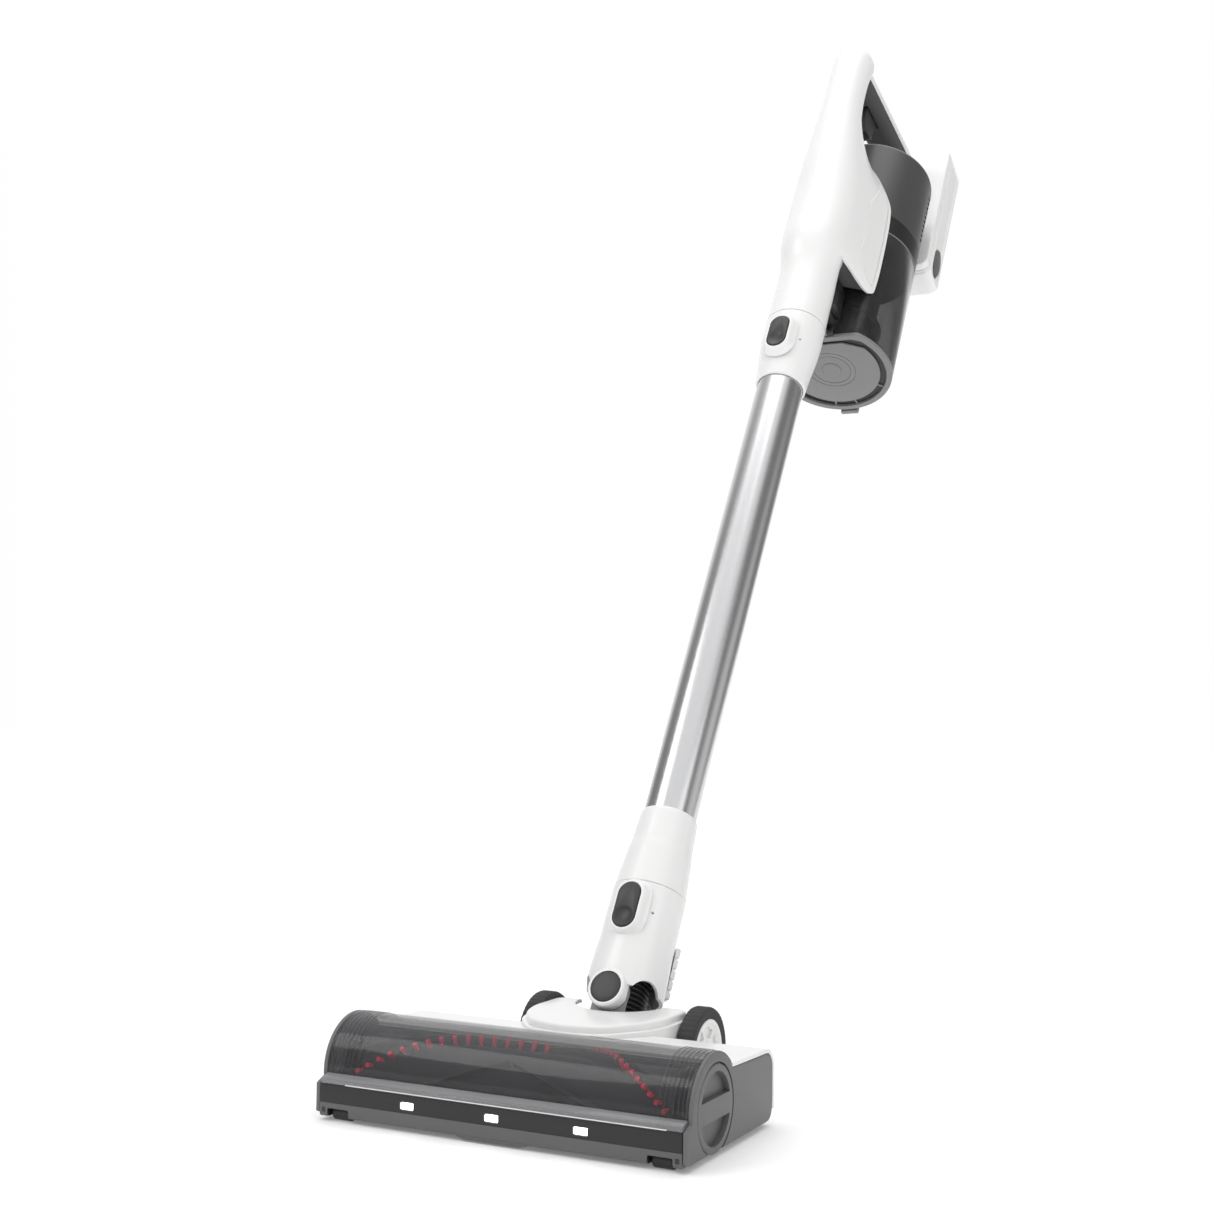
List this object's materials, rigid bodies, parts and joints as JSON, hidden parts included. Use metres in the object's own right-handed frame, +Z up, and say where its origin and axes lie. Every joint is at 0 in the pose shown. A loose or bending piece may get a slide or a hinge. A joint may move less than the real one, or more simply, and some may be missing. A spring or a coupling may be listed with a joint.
{
  "type": "cordless stick vacuum",
  "caption": "Cordless stick vacuum: brushed floor head on a tilting, swivelling neck, steel wand, cyclone hand unit with loop grip, trigger and slide-off battery.",
  "frame": {"origin": "on the floor at the centre of the object's footprint, in its standing pose with the wand leaning back", "axes": "+Z up from the floor, +Y from the floor head towards the user, +X to the right seen from the front"},
  "size_m": [0.256, 0.8644, 0.8954],
  "materials": {
    "white_plastic": "semi-gloss white",
    "white_trim": "satin white",
    "dark_grey_plastic": "satin dark grey",
    "mid_grey_plastic": "satin mid grey",
    "light_grey_plastic": "satin light grey",
    "black_plastic": "satin black",
    "black_rubber": "matt black rubber",
    "soft_grip": "soft-touch dark grey",
    "tyre_rubber": "matt dark rubber",
    "smoked_clear": "smoked clear plastic",
    "led_lens": "clear white lens",
    "brushed_steel": "satin steel",
    "brush_fibre": "dark pile with crimson tufts",
    "filter_foam": "open foam",
    "filter_paper": "pleated paper",
    "circuit_board": "green laminate",
    "cell_wrap": "blue cell sleeve"
  },
  "bodies": {
    "main_unit": {"main_shell": "white_plastic", "socket_collar": "white_plastic", "grip_front": "soft_grip", "motor_housing": "dark_grey_plastic", "cyclone_collar": "black_plastic", "cyclone_shroud": "dark_grey_plastic", "cyclone_cone": "mid_grey_plastic", "inlet_duct": "black_plastic", "motor_can": "brushed_steel", "motor_bearing_lower": "brushed_steel", "motor_bearing_upper": "brushed_steel", "motor_mount": "black_rubber", "motor_filter": "filter_foam", "exhaust_filter": "filter_paper", "control_board": "circuit_board", "battery_dock": "white_plastic"},
    "trigger": {"trigger": "dark_grey_plastic"},
    "socket_button": {"socket_button": "dark_grey_plastic"},
    "impeller": {"impeller": "dark_grey_plastic"},
    "cup": {"dust_cup": "smoked_clear", "lid_pin": "brushed_steel"},
    "lid": {"cup_lid": "light_grey_plastic", "lid_seal": "black_rubber"},
    "lid_latch": {"lid_latch": "light_grey_plastic"},
    "battery": {"battery_case": "white_plastic", "battery_plate": "white_trim", "battery_cells": "cell_wrap"},
    "battery_button_left": {"battery_button_left": "mid_grey_plastic"},
    "battery_button_right": {"battery_button_right": "mid_grey_plastic"},
    "wand": {"wand_tube": "brushed_steel", "wand_plug_lower": "black_plastic", "wand_plug_upper": "black_plastic"},
    "neck": {"neck_shell": "white_plastic", "neck_collar": "white_plastic", "swivel_cap": "dark_grey_plastic", "swivel_pin_rear": "brushed_steel", "neck_rear_cover": "white_trim", "air_hose": "black_rubber"},
    "neck_button": {"neck_button": "dark_grey_plastic"},
    "barrel": {"tilt_barrel": "light_grey_plastic"},
    "head": {"head_chassis": "dark_grey_plastic", "sole_plate": "light_grey_plastic", "head_cover": "white_plastic", "clear_window": "smoked_clear", "side_panel_left": "mid_grey_plastic", "side_panel_right": "mid_grey_plastic", "headlight_bar": "led_lens", "brush_motor": "brushed_steel", "drive_belt": "black_rubber"},
    "wheel_left": {"wheel_hub_left": "white_trim", "wheel_tyre_left": "tyre_rubber"},
    "wheel_right": {"wheel_hub_right": "white_trim", "wheel_tyre_right": "tyre_rubber"},
    "roller_left": {"front_roller_left": "mid_grey_plastic"},
    "roller_right": {"front_roller_right": "mid_grey_plastic"},
    "brush": {"brush_roll": "brush_fibre"},
    "motor_pulley": {"motor_pulley": "black_plastic"},
    "end_cap": {"roll_end_cap": "mid_grey_plastic", "roll_bearing": "brushed_steel"}
  },
  "joints": [
    {"name": "trigger_pull", "type": "hinge", "parent": "main_unit", "child": "trigger", "pos_m": [0, 0.25106, 0.84723], "axis": [1, 0, 0], "range_deg": [0, 6], "stiffness_Nm_per_rad": 0.5, "springref_deg": -2.86},
    {"name": "socket_button_press", "type": "slide", "parent": "main_unit", "child": "socket_button", "axis": [0, 0.8536, -0.521], "range_m": [0, 0.0025], "stiffness_N_per_m": 300, "springref_m": -0.001},
    {"name": "impeller_spin", "type": "hinge", "parent": "main_unit", "child": "impeller", "pos_m": [0, 0.26615, 0.7443], "axis": [0, 0.521, 0.8536], "continuous": true},
    {"name": "cup_release", "type": "slide", "parent": "main_unit", "child": "cup", "axis": [0, -0.521, -0.8536], "range_m": [0, 0.14]},
    {"name": "lid_open", "type": "hinge", "parent": "cup", "child": "lid", "pos_m": [0, 0.12364, 0.5999], "axis": [-1, 0, 0], "range_deg": [0, 85]},
    {"name": "latch_press", "type": "hinge", "parent": "cup", "child": "lid_latch", "pos_m": [0, 0.21873, 0.55357], "axis": [1, 0, 0], "range_deg": [0, 12], "stiffness_Nm_per_rad": 0.05, "springref_deg": -5.73},
    {"name": "battery_release", "type": "slide", "parent": "main_unit", "child": "battery", "axis": [0, -0.521, -0.8536], "range_m": [0, 0.16]},
    {"name": "battery_button_left_press", "type": "slide", "parent": "battery", "child": "battery_button_left", "axis": [1, 0, 0], "range_m": [0, 0.002], "stiffness_N_per_m": 400, "springref_m": -0.0005},
    {"name": "battery_button_right_press", "type": "slide", "parent": "battery", "child": "battery_button_right", "axis": [-1, 0, 0], "range_m": [0, 0.002], "stiffness_N_per_m": 400, "springref_m": -0.0005},
    {"name": "wand_release", "type": "slide", "parent": "main_unit", "child": "wand", "axis": [0, -0.521, -0.8536], "range_m": [0, 0.05]},
    {"name": "neck_release", "type": "slide", "parent": "wand", "child": "neck", "axis": [0, -0.521, -0.8536], "range_m": [0, 0.04]},
    {"name": "neck_button_press", "type": "slide", "parent": "neck", "child": "neck_button", "axis": [0, 0.8536, -0.521], "range_m": [0, 0.0025], "stiffness_N_per_m": 300, "springref_m": -0.001},
    {"name": "neck_swivel", "type": "hinge", "parent": "neck", "child": "barrel", "pos_m": [0, -0.25917, 0.0574], "axis": [0, 0.8536, -0.521], "range_deg": [-28, 28]},
    {"name": "head_tilt", "type": "hinge", "parent": "barrel", "child": "head", "pos_m": [0, -0.25917, 0.0303], "axis": [1, 0, 0], "range_deg": [-3, 50]},
    {"name": "wheel_left_roll", "type": "hinge", "parent": "head", "child": "wheel_left", "pos_m": [-0.05935, -0.25917, 0.0303], "axis": [1, 0, 0], "continuous": true},
    {"name": "wheel_right_roll", "type": "hinge", "parent": "head", "child": "wheel_right", "pos_m": [0.05935, -0.25917, 0.0303], "axis": [1, 0, 0], "continuous": true},
    {"name": "roller_left_roll", "type": "hinge", "parent": "head", "child": "roller_left", "pos_m": [-0.111, -0.42417, 0.0052], "axis": [1, 0, 0], "continuous": true},
    {"name": "roller_right_roll", "type": "hinge", "parent": "head", "child": "roller_right", "pos_m": [0.111, -0.42417, 0.0052], "axis": [1, 0, 0], "continuous": true},
    {"name": "brush_spin", "type": "hinge", "parent": "head", "child": "brush", "pos_m": [0, -0.39217, 0.0287], "axis": [1, 0, 0], "continuous": true},
    {"name": "motor_pulley_spin", "type": "hinge", "parent": "head", "child": "motor_pulley", "pos_m": [-0.122, -0.34257, 0.0287], "axis": [1, 0, 0], "continuous": true},
    {"name": "end_cap_turn", "type": "hinge", "parent": "head", "child": "end_cap", "pos_m": [0.128, -0.39217, 0.0287], "axis": [1, 0, 0], "range_deg": [0, 60]}
  ],
  "couplings": [
    {"joint": "motor_pulley_spin", "follows": "brush_spin", "ratio": 2.3333}
  ]
}
